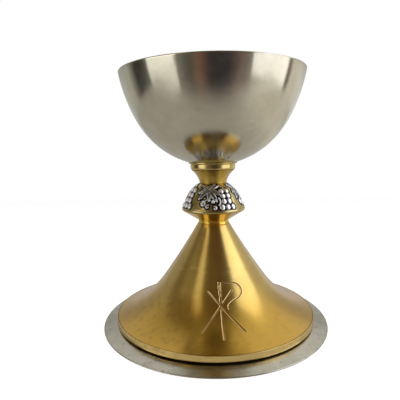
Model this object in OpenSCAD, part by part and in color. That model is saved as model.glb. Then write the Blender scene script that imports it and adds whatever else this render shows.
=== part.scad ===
// A chalice standing on its paten, which lies hollow side down.
// A spun bowl, a turned stem with a cast knop and a spun conical foot are drawn together by one long bolt.
// Lengths are in millimetres, angles in degrees, and z = 0 is the table.

/* [Paten] */
// Outside diameter of the paten
paten_d = 150; // [142:1:170]
// Thickness of the paten's sheet
paten_t = 0.9; // [0.6:0.1:1.5]
// Diameter of the flat floor of the well
well_d = 114; // [104:1:118]
// Depth of the well
well_depth = 2.9; // [2:0.1:4.5]
// Width of the flat rim that the paten lies on
rim_w = 2.5; // [2:0.1:5]
// Share of the wall between the well's floor and the rim that bends down before it sweeps out
wall_share = 0.25; // [0.2:0.05:0.5]

/* [Foot] */
// Diameter over the band of the foot
foot_d = 133; // [126:0.5:142]
// Height from the foot's standing plane to the closed top of the cone
foot_h = 63.1; // [55:0.1:75]
// Thickness of the foot's spun sheet
foot_t = 1; // [0.7:0.1:1.5]
// Diameter of the cone's closed top
cone_top_d = 20.9; // [19:0.1:26]
// Diameter at which the cone turns into the flare
bend_d = 70.8; // [60:0.1:80]
// Height of that bend above the standing plane
bend_h = 25.2; // [18:0.1:32]
// How far the cone's side dips below a straight line
cone_hollow = 0.5; // [0.1:0.1:1.5]
// Height of the band round the foot's edge
band_h = 3.6; // [3:0.1:6]
// Thickness of the band's wall
band_t = 2.4; // [2:0.1:4]
// How far the band's face leans in at its top
band_lean = 0.5; // [0.1:0.1:0.5]
// Bevel on the band's top edge
band_bevel = 0.3; // [0.2:0.1:0.4]
// Set-back of the sheet's edge from the outside of the band
edge_inset = 1; // [0.9:0.1:1.3]
// Thickness of the flange that the band turns in under the foot
flange_t = 1.2; // [0.8:0.1:1.6]
// Width of the flange's standing ring on the floor of the paten
standing_w = 3; // [2:0.5:10]

/* [Knop] */
// Diameter over the knop's rounded edge
knop_d = 42.2; // [40:0.1:46]
// Height of the rounded edge
bead_h = 2.2; // [1.6:0.1:3]
// Diameter at the bottom of the knop's sloping underside
knop_foot_d = 20.4; // [19:0.1:26]
// Height of the sloping underside
underside_h = 6.5; // [4:0.1:9]
// Diameter of the ball that the dome is the top of
dome_d = 38.8; // [37.5:0.1:40]
// How far the ball's middle lies below the dome's base
dome_drop = 1.7; // [1:0.1:2.5]
// Diameter of the dome's plain border where it meets the rounded edge
border_d = 41.2; // [40.4:0.1:41.3]
// Height of the plain border
border_h = 4.8; // [3:0.1:5.5]
// Diameter of the flat on top of the dome
dome_top_d = 17.2; // [16.4:0.1:20]
// Thickness of the dome's wall
dome_t = 1.8; // [1.2:0.1:3]
// Thickness of the dome's flat top
dome_top_t = 2; // [1.2:0.1:3]
// Height of the spigot that centres the dome
spigot_h = 2; // [1:0.1:4]
// Outside diameter of the distance tube inside the knop
sleeve_d = 14; // [12:0.5:16]

/* [Vine relief] */
// Number of castings round the dome
relief_count = 4; // [2:1:4]
// Turn of the first casting from the front
relief_turn = 0; // [-45:1:45]
// Thickness of the leaves
leaf_t = 0.6; // [0.4:0.1:1]
// Length of the leaf's longest lobe
leaf_l = 9.5; // [7:0.1:10.5]
// Diameter of a grape
grape_d = 4.2; // [3.6:0.1:5]
// How far a grape stands out from the dome
grape_rise = 0.95; // [0.7:0.05:1.2]
// Thickness of the plate that joins the grapes
bunch_t = 0.35; // [0.25:0.05:0.6]
// Thickness of the branch and the tendrils
vine_w = 1.3; // [1:0.1:1.6]
// Diameter of a tendril's curl, along the middle of its wire
curl_d = 3.2; // [2.6:0.1:4]

/* [Stem] */
// Diameter of the ring between the foot and the knop
stem_ring_d = 20; // [18:0.1:26]
// Height of that ring's edge
stem_ring_h = 1; // [0.8:0.1:4]
// Height of the taper below that edge, which carries on the cone's side
ring_taper_h = 1; // [0.5:0.1:2]
// Diameter of that taper at its top
ring_taper_d = 19.8; // [18:0.1:20.8]
// Diameter at the bottom of the neck
neck_d = 17.7; // [15:0.1:20]
// Diameter at the top of the neck
neck_top_d = 28.2; // [25:0.1:32]
// Height of the neck
neck_h = 9; // [6:0.1:14]
// How far the neck's side dips below a straight line
neck_hollow = 0.95; // [0.3:0.05:1.4]
// Diameter of the collar ring
collar_d = 29.6; // [27:0.1:34]
// Radius of the collar's rounded lower edge
collar_round = 1; // [0.4:0.1:1.5]
// Depth of the groove under the collar's lip
groove_d = 0.4; // [0.2:0.1:0.8]
// How far the collar's lip stands out under the bowl
lip_w = 1.3; // [0.3:0.1:1.6]
// Height of the lip
lip_h = 0.9; // [0.5:0.1:1.2]

/* [Bowl] */
// Outside diameter at the rim
bowl_d = 118.4; // [110:0.1:128]
// Height of the bowl
bowl_h = 58.9; // [52:0.1:68]
// Radius of the ball-shaped lower part
bowl_ball_r = 55.6; // [52:0.1:60]
// How far the ball-shaped part runs up from the axis
bowl_ball_arc = 62; // [50:1:68]
// Thickness of the bowl's sheet
bowl_t = 1.2; // [0.8:0.1:2]

/* [Bolt and nut] */
// Diameter of the bolt
bolt_d = 8; // [6:0.5:9]
// Diameter of the bolt's dished head
bolt_head_d = 21; // [16:0.5:22]
// Thickness of the head at its middle
bolt_head_t = 2.6; // [2:0.1:5]
// Length of bolt below the nut
bolt_end_l = 3; // [1:0.5:8]
// Width of the nut across its flats
nut_w = 13; // [11:0.5:15]
// Height of the nut
nut_h = 6.5; // [4:0.1:8]
// Diameter of the flat washer
washer_d = 16; // [14:0.5:17]
// Thickness of the flat washer
washer_t = 1.6; // [1:0.1:2.5]
// Diameter of the split washer
lock_d = 14.8; // [12:0.1:16]
// Thickness of the split washer
lock_t = 2; // [1.2:0.1:3]
// Width of the cut in the split washer
lock_cut_w = 1.5; // [0.8:0.1:3]
// Radial clearance of the bolt in the stem
bolt_gap = 0.25; // [0.1:0.05:0.5]
// Radial clearance of pieces that fit inside one another
fit_gap = 0.1; // [0.05:0.05:0.3]

/* [Hidden] */
$fn = 120;

silver = "#b4afa6";
oxidised_silver = "#8f8f90";
gilt = "#c69a45";
bright_gilt = "#d9a93a";
brass = "#b08d4a";

// Heights of the seats, stacked from the table up
foot_z = paten_t + well_depth;
cone_z = foot_z + foot_h;
knop_z = cone_z + ring_taper_h + stem_ring_h;
dome_z = knop_z + underside_h + bead_h;
dome_r = dome_d / 2;
dome_mid_z = dome_z - dome_drop;
dome_top_z = dome_mid_z + sqrt(pow(dome_r, 2) - pow(dome_top_d / 2, 2));
neck_z = dome_top_z;
collar_z = neck_z + neck_h;
bowl_z = collar_z + bolt_head_t;
rim_z = bowl_z + bowl_h;

// Radii that mating pieces share
bolt_hole_r = bolt_d / 2 + bolt_gap;
dome_in_r = sqrt(pow(dome_r - dome_t, 2) - pow(dome_drop + spigot_h, 2));
nut_top_z = cone_z - foot_t - washer_t - lock_t;

// Greatest turn between two points of a curved outline
arc_step = 4;
// Steps round the half circle of a rounded edge
edge_steps = 8;
// Turn of the knop's rounded edge below and above its widest line
bead_low = 58;
bead_high = 45;
// How far the top of the dome's border dips into the ball
border_sink = 0.1;
border_top_r = sqrt(pow(dome_r, 2) - pow(dome_drop + border_h, 2)) - border_sink;
border_slope = (border_d / 2 - border_top_r) / border_h;

// Directions and headings in the (radius, height) plane
function unit(a) = [cos(a), sin(a)];
function left_of(a) = [-sin(a), cos(a)];
function heading(p, q) = atan2(q[1] - p[1], q[0] - p[0]);
function wrapped(a) = a - 360 * floor((a + 180) / 360);
function reversed(list) = [for (i = [len(list) - 1:-1:0]) list[i]];

// An arc is [start, heading at the start, end]; half its turn is the angle from that heading to the chord.
function half_turn(arc) = wrapped(heading(arc[0], arc[2]) - arc[1]);
function end_heading(arc) = arc[1] + 2 * half_turn(arc);
function sagged_arc(p, q, sag) = [p, heading(p, q) + 2 * atan(2 * sag / norm(q - p)), q];
function arc_point(arc, f, off) =
    let (w = half_turn(arc), chord = norm(arc[2] - arc[0]), share = abs(w) < 0.01 ? f : sin(w * f) / sin(w))
    arc[0] + chord * share * unit(arc[1] + w * f) + off * left_of(arc[1] + 2 * w * f);
function arc_count(arc) = max(1, ceil(2 * abs(half_turn(arc)) / arc_step));
function arc_points(arc, off = 0, first = 0) =
    let (n = arc_count(arc)) [for (i = [first:n]) arc_point(arc, i / n, off)];

// A path is a list of arcs that follow on, and off shifts it to the left.
function path_points(path, off = 0) = [
    for (i = [0:len(path) - 1]) each arc_points(path[i], off, i == 0 ? 0 : 1)];
function round_end(arc, t) =
    let (mid = arc[2] + t / 2 * left_of(end_heading(arc)))
    [for (i = [1:edge_steps - 1]) mid + t / 2 * unit(end_heading(arc) - 90 + 180 * i / edge_steps)];

// Sheet of even thickness on the left of a path, with a rounded end
module spun_sheet(path, t) {
    last = path[len(path) - 1];
    rotate_extrude() polygon(concat(path_points(path), round_end(last, t), reversed(path_points(path, t))));
}

module tube(outer_r, inner_r, h) {
    difference() {
        cylinder(r = outer_r, h = h);
        translate([0, 0, -1]) cylinder(r = inner_r, h = h + 2);
    }
}

// Paten: from the axis over the floor of the well, down its wall and out along the rim, underside first
well_r = well_d / 2;
rim_r = paten_d / 2 - rim_w;
wall_mid = [well_r + (rim_r - well_r) * wall_share, well_depth * (1 - wall_share)];
floor_run = [[0, well_depth], 0, [well_r, well_depth]];
wall_top = [floor_run[2], 0, wall_mid];
wall_foot = [wall_mid, end_heading(wall_top), [rim_r, 0]];
rim_run = [wall_foot[2], 0, [paten_d / 2 - paten_t / 2, 0]];

module paten() {
    color(silver) spun_sheet([floor_run, wall_top, wall_foot, rim_run], paten_t);
}

// Foot: the cone's side and the flare that carries on from it, top side first
cone_top = [cone_top_d / 2, cone_z];
foot_bend = [bend_d / 2, foot_z + bend_h];
foot_edge = [foot_d / 2 - edge_inset, foot_z + band_h];
cone_side = sagged_arc(cone_top, foot_bend, -cone_hollow);
flare = [foot_bend, end_heading(cone_side), foot_edge];
cone_corner = [cone_top[0] + foot_t * tan(cone_side[1] / 2), cone_z - foot_t];
flare_end = arc_point(flare, 1, -foot_t);
flare_seat = arc_point(flare, 1 - 1 / arc_count(flare), -foot_t);

module foot_shell() {
    side = [cone_side, flare];
    inside = reversed(path_points(side, -foot_t));
    hole = [[bolt_hole_r, cone_z - foot_t], [bolt_hole_r, cone_z]];
    color(gilt) rotate_extrude()
        polygon(concat(path_points(side), [for (i = [0:len(inside) - 2]) inside[i]], [cone_corner], hole));
}

module foot_band() {
    outer_r = foot_d / 2;
    top_r = outer_r - band_lean;
    inner_r = outer_r - band_t;
    slope = (flare_end[1] - flare_seat[1]) / (flare_end[0] - flare_seat[0]);
    seat = [inner_r, flare_end[1] + slope * (inner_r - flare_end[0])];
    standing_r = well_r - standing_w;
    color(gilt) rotate_extrude() polygon([
        [standing_r, foot_z], [outer_r, foot_z],
        [top_r, foot_edge[1] - band_bevel], [top_r - band_bevel, foot_edge[1]], foot_edge,
        flare_end, seat,
        [inner_r, foot_z + flange_t], [standing_r, foot_z + flange_t]
    ]);
}

// Washers and nut under the cone's closed top
module foot_washer() {
    color(brass) translate([0, 0, cone_z - foot_t - washer_t]) tube(washer_d / 2, bolt_hole_r, washer_t);
}

module lock_washer() {
    color("gray") translate([0, 0, nut_top_z]) difference() {
        tube(lock_d / 2, bolt_hole_r, lock_t);
        translate([0, -lock_cut_w / 2, -1]) cube([lock_d, lock_cut_w, lock_t + 2]);
    }
}

module hex_nut() {
    color(brass) translate([0, 0, nut_top_z - nut_h]) difference() {
        cylinder(d = nut_w / cos(30), h = nut_h, $fn = 6);
        translate([0, 0, -1]) cylinder(r = bolt_d / 2 + fit_gap, h = nut_h + 2);
    }
}

module stem_ring() {
    edge_z = cone_z + ring_taper_h;
    color(bright_gilt) rotate_extrude() polygon([
        [bolt_hole_r, cone_z], [cone_top_d / 2, cone_z], [ring_taper_d / 2, edge_z],
        [stem_ring_d / 2, edge_z], [stem_ring_d / 2, knop_z], [bolt_hole_r, knop_z]
    ]);
}

// Knop: a sloping underside with a rounded edge and a spigot, a hollow dome on it, and a tube between them
module knop_base() {
    bead_r = bead_h / (sin(bead_low) + sin(bead_high));
    bead_mid = [knop_d / 2 - bead_r, dome_z - bead_r * sin(bead_high)];
    bead_turn = bead_low + bead_high;
    spigot_r = dome_in_r - fit_gap;
    spigot_z = dome_z + spigot_h;
    color(bright_gilt) rotate_extrude() polygon(concat(
        [[bolt_hole_r, knop_z], [knop_foot_d / 2, knop_z]],
        [for (i = [0:edge_steps]) bead_mid + bead_r * unit(bead_turn * i / edge_steps - bead_low)],
        [[spigot_r, dome_z], [spigot_r, spigot_z], [bolt_hole_r, spigot_z]]
    ));
}

module knop_sleeve() {
    seat_z = dome_z + spigot_h;
    color(brass) translate([0, 0, seat_z])
        tube(sleeve_d / 2, bolt_hole_r, dome_top_z - dome_top_t - seat_z);
}

// Outside of the dome: the top of the ball, and the plain border that slopes in to it
module dome_outside() {
    intersection() {
        translate([0, dome_mid_z]) circle(r = dome_r);
        translate([0, dome_z]) square(dome_r);
    }
    translate([0, dome_z]) polygon([[0, 0], [border_d / 2, 0], [border_top_r, border_h], [0, border_h]]);
}

module knop_dome() {
    color(gilt) rotate_extrude() difference() {
        intersection() {
            dome_outside();
            translate([bolt_hole_r, dome_z]) square([border_d, dome_top_z - dome_z]);
        }
        intersection() {
            translate([0, dome_mid_z]) circle(r = dome_r - dome_t);
            square([dome_r, dome_top_z - dome_top_t]);
        }
    }
}

// Vine relief: places on the dome are a turn from the casting's middle and a rise from the ball's middle
leaf_place = [-12, 46];
leaf_heading = -68;
lobes = [[-112, 0.66], [-56, 0.92], [0, 1], [56, 0.92], [112, 0.66]];
bunch_rows = [3, 2, 2, 2];
bunch_place = [28, 11];
row_rise = 10.8;
grape_turn = 11;
branch_rise = 49;

function grape_place(row, i) =
    let (rise = bunch_place[1] + row_rise * row)
    [bunch_place[0] + (i - (bunch_rows[row] - 1) / 2) * grape_turn / cos(rise), rise];
// Distance of the dome's outside from the ball's middle: the border's, where that is larger than the ball's
function skin_r(rise) =
    max(dome_r, (border_d / 2 + border_slope * dome_drop) / (cos(rise) + border_slope * sin(rise)));
function on_tangent(place, at) = dome_r * [
    cos(place[1]) * sin(place[0] - at[0]),
    sin(place[1]) * cos(at[1]) - cos(place[1]) * sin(at[1]) * cos(place[0] - at[0])];
function lobe_tip(i) = lobes[i][1] * leaf_l * unit(leaf_heading + lobes[i][0]);
function leaf_outline() = [
    for (lobe = lobes, side = [[-27, 0.58], [-11, 0.8], [0, 1], [11, 0.8], [27, 0.58]])
        side[1] * lobe[1] * leaf_l * unit(leaf_heading + lobe[0] + side[0])];

module on_dome(place) {
    translate([0, 0, dome_mid_z]) rotate([0, 0, place[0] - 90]) rotate([0, 90 - place[1], 0])
        rotate([0, 0, 90])
        children();
}

module raised_plate(place, t) {
    intersection() {
        translate([0, 0, dome_mid_z]) sphere(r = dome_r + t);
        on_dome(place) translate([0, 0, dome_r / 2]) linear_extrude(height = dome_r) children();
    }
}

module curl(tip, turn) {
    on_dome(leaf_place) {
        at = tip + curl_d / 2 * unit(turn);
        drop = dome_r - sqrt(pow(dome_r, 2) - pow(norm(at), 2));
        translate([at[0], at[1], dome_r - drop]) rotate([-asin(at[1] / dome_r), asin(at[0] / dome_r), 0])
            rotate_extrude($fn = 48) translate([curl_d / 2, 0]) circle(d = vine_w, $fn = 24);
    }
}

module vine_casting() {
    bunch_mid = [bunch_place[0], bunch_place[1] + row_rise];
    top_row = len(bunch_rows) - 1;
    bunch_corners = [
        grape_place(0, 0), grape_place(0, bunch_rows[0] - 1),
        grape_place(top_row, bunch_rows[top_row] - 1), grape_place(top_row, 0)
    ];
    difference() {
        union() {
            raised_plate(leaf_place, leaf_t) polygon(leaf_outline());
            raised_plate(bunch_mid, bunch_t)
                polygon([for (corner = bunch_corners) on_tangent(corner, bunch_mid)]);
            for (row = [0:len(bunch_rows) - 1], i = [0:bunch_rows[row] - 1])
                on_dome(grape_place(row, i))
                    translate([0, 0, skin_r(grape_place(row, i)[1]) + grape_rise - grape_d / 2])
                        sphere(d = grape_d, $fn = 40);
            translate([0, 0, dome_mid_z + dome_r * sin(branch_rise)]) rotate([0, 0, leaf_place[0] - 90])
                rotate_extrude(angle = bunch_place[0] - leaf_place[0])
                    translate([dome_r * cos(branch_rise), 0]) circle(d = vine_w, $fn = 24);
            curl(lobe_tip(1), -60);
            curl(lobe_tip(2), -110);
        }
        rotate_extrude() {
            dome_outside();
            square([dome_d, dome_z]);
        }
    }
}

module vine_relief() {
    color(oxidised_silver) for (i = [0:relief_count - 1])
        rotate([0, 0, relief_turn + 360 / relief_count * i]) vine_casting();
}

// Stem above the knop
module neck() {
    side = sagged_arc([neck_d / 2, neck_z], [neck_top_d / 2, collar_z], neck_hollow);
    color(gilt) rotate_extrude()
        polygon(concat(arc_points(side), [[bolt_hole_r, collar_z], [bolt_hole_r, neck_z]]));
}

// Bowl: the ball-shaped bottom and the steeper side, outside first
ball_end = bowl_ball_r * [sin(bowl_ball_arc), 1 - cos(bowl_ball_arc)];
bowl_ball = [[0, bowl_z], 0, [0, bowl_z] + ball_end];
bowl_side = [bowl_ball[2], bowl_ball_arc, [bowl_d / 2, rim_z - bowl_t / 2]];

module bowl_outside() {
    polygon(concat(path_points([bowl_ball, bowl_side]), [[0, bowl_side[2][1]]]));
}

function bowl_height_at(r) = bowl_z + bowl_ball_r - sqrt(pow(bowl_ball_r, 2) - pow(r, 2));

module collar_ring() {
    collar_r = collar_d / 2;
    lip_r = collar_r + lip_w;
    lip_z = bowl_height_at(lip_r) - lip_h;
    inner_r = bolt_head_d / 2 + fit_gap;
    round_mid = [collar_r - collar_round, collar_z + collar_round];
    color(bright_gilt) rotate_extrude() difference() {
        polygon(concat(
            [[inner_r, collar_z]],
            [for (i = [0:edge_steps]) round_mid + collar_round * unit(-90 + 90 * i / edge_steps)],
            [[collar_r, lip_z - groove_d], [collar_r - groove_d, lip_z], [lip_r, lip_z]],
            [[lip_r, lip_z + 2 * lip_h], [inner_r, lip_z + 2 * lip_h]]
        ));
        bowl_outside();
    }
}

module tie_bolt() {
    head_r = bolt_head_d / 2;
    bolt_bottom_z = nut_top_z - nut_h - bolt_end_l;
    color(brass) rotate_extrude() difference() {
        polygon([
            [0, bolt_bottom_z], [bolt_d / 2, bolt_bottom_z], [bolt_d / 2, collar_z], [head_r, collar_z],
            [head_r, bowl_height_at(head_r) + 1], [0, bowl_height_at(head_r) + 1]
        ]);
        bowl_outside();
    }
}

module bowl() {
    color(silver) spun_sheet([bowl_ball, bowl_side], bowl_t);
}

paten();
foot_band();
foot_shell();
foot_washer();
lock_washer();
hex_nut();
stem_ring();
knop_base();
knop_sleeve();
knop_dome();
vine_relief();
neck();
collar_ring();
tie_bolt();
bowl();
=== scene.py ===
# %% [markdown]
# # A chalice standing on its paten
# The chalice has a spun silver bowl, a turned and gilt stem with a cast knop, and a spun gilt foot with a
# sign cut into it. A long bolt inside the stem holds them together. It stands on its paten, a silver plate
# that lies hollow side down. The solid parts come from the frame and never move. This lesson gives nearly all
# of them a finer skin and each one a finish, and adds light and a camera.

import bmesh
import bpy
import numpy as np
from mathutils import Matrix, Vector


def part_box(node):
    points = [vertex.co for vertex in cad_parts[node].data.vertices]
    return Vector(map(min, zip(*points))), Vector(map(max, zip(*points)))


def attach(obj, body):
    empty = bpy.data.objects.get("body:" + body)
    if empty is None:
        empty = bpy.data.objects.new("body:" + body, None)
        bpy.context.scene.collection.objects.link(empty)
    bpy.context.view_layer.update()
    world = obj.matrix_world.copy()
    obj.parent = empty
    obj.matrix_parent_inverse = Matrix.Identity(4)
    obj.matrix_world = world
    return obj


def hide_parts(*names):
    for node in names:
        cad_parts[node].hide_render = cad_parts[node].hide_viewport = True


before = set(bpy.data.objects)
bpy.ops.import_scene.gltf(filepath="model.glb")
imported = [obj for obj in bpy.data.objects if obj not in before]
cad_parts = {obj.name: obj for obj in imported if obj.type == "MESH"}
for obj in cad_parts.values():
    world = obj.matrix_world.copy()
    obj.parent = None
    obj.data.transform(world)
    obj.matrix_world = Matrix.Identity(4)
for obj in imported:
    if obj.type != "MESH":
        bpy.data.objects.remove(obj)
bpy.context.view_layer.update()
MM = 0.001


def reach(node):
    """Outer radius, bottom and top of a round part, in millimetres, from the corners of its box."""
    low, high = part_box(node)
    return [round(float(value) / MM, 2) for value in (high.y, low.z, high.z)]


def put_in_scene(name, data):
    """A new object of the scene, made of a mesh, a light or a camera."""
    thing = bpy.data.objects.new(name, data)
    bpy.context.scene.collection.objects.link(thing)
    return thing


foot_stand = reach("foot_band")[1]
rim_r, bowl_bottom, rim_top = reach("bowl")
print("foot stands at", foot_stand, "mm, rim is at", rim_top, "mm, rim radius is", rim_r, "mm")

# %% [markdown]
# ## Camera
# The photograph was taken from in front, a little above the knop and below the rim, by a camera that is
# tilted down and held not quite level. Its distance, tilt and lens come from the ellipses of the rim, the
# foot and the paten: only one place of the camera makes all three as flat as they look. A matrix whose
# columns are the camera's right, up and back directions places it in one go.

# %% Camera
camera_back = 258.2
camera_height = 116.4
camera_yaw, camera_tilt, camera_roll = np.radians([-1.98, -7.6, -1.0])
lens_mm = 34.95

forward = np.array([np.sin(camera_yaw) * np.cos(camera_tilt), np.cos(camera_yaw) * np.cos(camera_tilt),
                    np.sin(camera_tilt)])
level_right = np.array([np.cos(camera_yaw), -np.sin(camera_yaw), 0.0])
level_up = np.cross(level_right, forward)
right = level_right * np.cos(camera_roll) + level_up * np.sin(camera_roll)
up = level_up * np.cos(camera_roll) - level_right * np.sin(camera_roll)

camera_data = bpy.data.cameras.new("camera")
camera_data.lens = lens_mm
camera_data.sensor_width = 36.0
camera_data.clip_start = 0.01
camera = put_in_scene("camera", camera_data)
camera.matrix_world = Matrix.Translation((0.0, -camera_back * MM, camera_height * MM)) @ Matrix(
    np.stack([right, up, -forward], 1).tolist()).to_4x4()
bpy.context.scene.camera = camera
print("camera looks along", np.round(forward, 3))

# %% [markdown]
# ## Outlines and turned skins
# Nearly every piece of a chalice is made on a lathe: sheet is spun over a form, and rod is turned. So each
# piece is an outline in (radius, height), swept once round the axis. A modifier could do the sweep. Here the
# whole grid of points is worked out at once with numpy instead, because later steps press a sign or a vine
# into such a grid before it becomes a mesh. Each point also keeps how far along the outline it lies, which
# the finishes use for lathe lines.

# %% Outline helpers


def arc(start, heading, end, count=32):
    """Points of the circular arc that leaves start along a heading (degrees) and comes to end.

    Half of the arc's turn, w, is the angle from the heading to the chord. At a share f of the way the point
    lies chord * sin(w f) / sin(w) from the start, in the direction heading + w f. The heading at the end,
    heading + 2 w, is returned too.
    """
    start, chord = np.array(start, float), np.subtract(end, start)
    half = (np.arctan2(chord[1], chord[0]) - np.radians(heading) + np.pi) % (2 * np.pi) - np.pi
    share = np.linspace(0, 1, count)
    length = share if abs(half) < 1e-6 else np.sin(half * share) / np.sin(half)
    way = np.radians(heading) + half * share
    points = start + np.hypot(*chord) * length[:, None] * np.stack([np.cos(way), np.sin(way)], 1)
    return points, heading + 2 * np.degrees(half)


def sagged_arc(start, end, sag, count=32):
    """The arc from start to end whose middle lies sag to the left of the chord."""
    chord = np.subtract(end, start)
    heading = np.degrees(np.arctan2(chord[1], chord[0]) + 2 * np.arctan(2 * sag / np.hypot(*chord)))
    return arc(start, heading, end, count)


def shifted(points, distance):
    """A line moved sideways: each point goes the distance along the left normal of the line there."""
    along = np.gradient(points, axis=0)
    left = np.stack([-along[:, 1], along[:, 0]], 1) / np.hypot(*along.T)[:, None]
    return points + distance * left


def round_corners(corners, radii, steps=5):
    """A closed outline with each corner replaced by an arc of its own radius, tangent to both sides."""
    corners = np.array(corners, float)
    pieces = []
    for before, corner, after, radius in zip(np.roll(corners, 1, 0), corners, np.roll(corners, -1, 0), radii):
        a, b = before - corner, after - corner
        a, b = a / np.hypot(*a), b / np.hypot(*b)
        half = np.arccos(np.clip(a @ b, -1, 1)) / 2
        reach_back = radius / np.tan(half)
        heading = np.degrees(np.arctan2(-a[1], -a[0]))
        pieces.append(arc(corner + a * reach_back, heading, corner + b * reach_back, steps)[0])
    return np.concatenate(pieces)


def refined(points, step, closed=True):
    """The same outline with points added so that no stretch is longer than step."""
    ends = np.concatenate([points, points[:1]]) if closed else points
    counts = np.maximum(1, np.ceil(np.hypot(*np.diff(ends, axis=0).T) / step)).astype(int)
    start = np.repeat(np.arange(len(counts)), counts)
    share = (np.arange(counts.sum()) - np.repeat(np.cumsum(counts) - counts, counts)) / counts[start]
    fine = ends[start] + share[:, None] * (ends[start + 1] - ends[start])
    return fine if closed else np.concatenate([fine, points[-1:]])


def length_along(points):
    """How far along the line each point lies, from its first point."""
    return np.concatenate([[0], np.cumsum(np.hypot(*np.diff(points, axis=0).T))])


# %% Turned skins
ROUND = 240


def even_turns(count=ROUND):
    """Angles of a full turn in equal steps, in radians. The front of the chalice, -Y, is angle zero."""
    return np.arange(count) * 2 * np.pi / count


def round_points(radius, turns, height):
    """Points (r sin a, -r cos a, z) for radii r, angles a and heights z, which may be whole grids."""
    return np.stack(np.broadcast_arrays(radius * np.sin(turns), -radius * np.cos(turns), height), -1)


def spin(outline, turns):
    """The outline at every turn, as a grid with a row for each of its points."""
    return round_points(outline[:, :1], turns, outline[:, 1:])


def along_grid(outline, count):
    """How far along the outline each point of such a grid lies."""
    return np.broadcast_to(length_along(outline)[:, None], (len(outline), count))


def grid_faces(rows, columns, closed_rows):
    """Four-sided faces of a grid that closes on itself from its last column to its first, and from its last
    row to its first where closed_rows is set. With an outline that runs round its solid counterclockwise,
    the faces point outwards."""
    row = np.arange(rows if closed_rows else rows - 1)[:, None]
    column = np.arange(columns)[None, :]
    next_row, next_column = (row + 1) % rows, (column + 1) % columns
    corners = [row * columns + column, row * columns + next_column,
               next_row * columns + next_column, next_row * columns + column]
    return np.stack([np.broadcast_to(corner, (len(row), columns)) for corner in corners], 2).reshape(-1, 4)


def make_piece(name, points, faces, body, node, values=None, sharp=40):
    """One mesh piece: points in millimetres, faces as rows of point numbers, and values by attribute name.
    Points that coincide, as at a pole, are merged. The piece rides on its body and stands for its node."""
    mesh = bpy.data.meshes.new(name)
    mesh.from_pydata((points.reshape(-1, 3) * MM).tolist(), [], faces.tolist())
    for key, value in (values or {}).items():
        layer = mesh.attributes.new(key, "FLOAT", "POINT")
        layer.data.foreach_set("value", np.ravel(value).astype(np.float32))
    shell = bmesh.new()
    shell.from_mesh(mesh)
    bmesh.ops.remove_doubles(shell, verts=shell.verts, dist=1e-7)
    shell.to_mesh(mesh)
    shell.free()
    mesh.shade_smooth()
    mesh.set_sharp_from_angle(angle=np.radians(sharp))
    piece = put_in_scene(name, mesh)
    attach(piece, body)
    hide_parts(node)
    print(name, "has", len(mesh.vertices), "points and", len(mesh.polygons), "faces")
    return piece


def turned_piece(name, outline, node, closed=True, body="chalice", count=ROUND):
    """A piece swept round the axis from one outline. An outline that isn't closed starts and ends on it."""
    points, faces = spin(outline, even_turns(count)), grid_faces(len(outline), count, closed)
    return make_piece(name, points, faces, body, node, {"along": along_grid(outline, count)})


# %% [markdown]
# ## Bowl
# The bowl is one sheet of silver, spun over a ball-shaped form and drawn up to a slightly steeper side.
# The outline leaves the axis at the bottom, follows the outside, turns over the rim in a half circle and
# comes back down the inside, one sheet thickness away. A Solidify modifier could make the wall from the
# outside alone, but it would leave a square rim. The inside is gilt, as it is on nearly all chalices, so its
# faces take a second finish.

# %% Bowl
sheet_t = 1.2
ball_r, ball_arc = 55.6, 62.0
bowl_axis = [0.0, bowl_bottom]
ball_end = [ball_r * np.sin(np.radians(ball_arc)), bowl_bottom + ball_r * (1 - np.cos(np.radians(ball_arc)))]
bowl_ball = arc(bowl_axis, 0, ball_end, 90)[0]
bowl_side, rim_heading = arc(ball_end, ball_arc, [rim_r, rim_top - sheet_t / 2], 60)
bowl_outside = np.concatenate([bowl_ball, bowl_side[1:]])
bowl_inside = shifted(bowl_outside, sheet_t)[::-1]
bowl_lip = arc(bowl_outside[-1], rim_heading, bowl_inside[0], 9)[0][1:-1]
bowl_outline = np.concatenate([bowl_outside, bowl_lip, bowl_inside])
bowl_outline[[0, -1], 0] = 0
bowl = turned_piece("silver_bowl", bowl_outline, "bowl", closed=False, count=256)


def bowl_height(radius):
    """Height of the bowl's outside over a radius within its ball-shaped part."""
    return bowl_bottom + ball_r - np.sqrt(ball_r ** 2 - np.square(radius))


# %% [markdown]
# ## Collar and neck
# The collar is a turned ring that the bowl sits in: a fat rounded band with a thin lip above it that follows
# the bowl. Below it the neck narrows in a hollow curve to the knop. Small radii on the corners matter more
# than they seem to, because on polished metal each rounded corner draws a line of light. A Bevel modifier
# would round them all alike, so each corner of the collar's outline has a radius of its own instead.

# %% Collar
lip_r, collar_bottom, _ = reach("collar_ring")
lip_w, lip_h, groove_d = 1.3, 0.9, 0.4
collar_r = lip_r - lip_w
bolt_head_r, seat_gap = reach("tie_bolt")[0], 0.1
seat_r = bolt_head_r + seat_gap
lip_bottom = float(bowl_height(lip_r)) - lip_h
collar_corners = [[seat_r, collar_bottom], [collar_r, collar_bottom], [collar_r, lip_bottom - groove_d],
                  [collar_r - groove_d, lip_bottom], [lip_r, lip_bottom], [lip_r, bowl_height(lip_r)],
                  [seat_r, bowl_height(seat_r)]]
collar_radii = [0.1, 1.4, 0.5, 0.12, 0.45, 0.25, 0.1]
collar_outline = refined(round_corners(collar_corners, collar_radii, 9), 0.5)
turned_piece("gilt_collar", collar_outline, "collar_ring")

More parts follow.
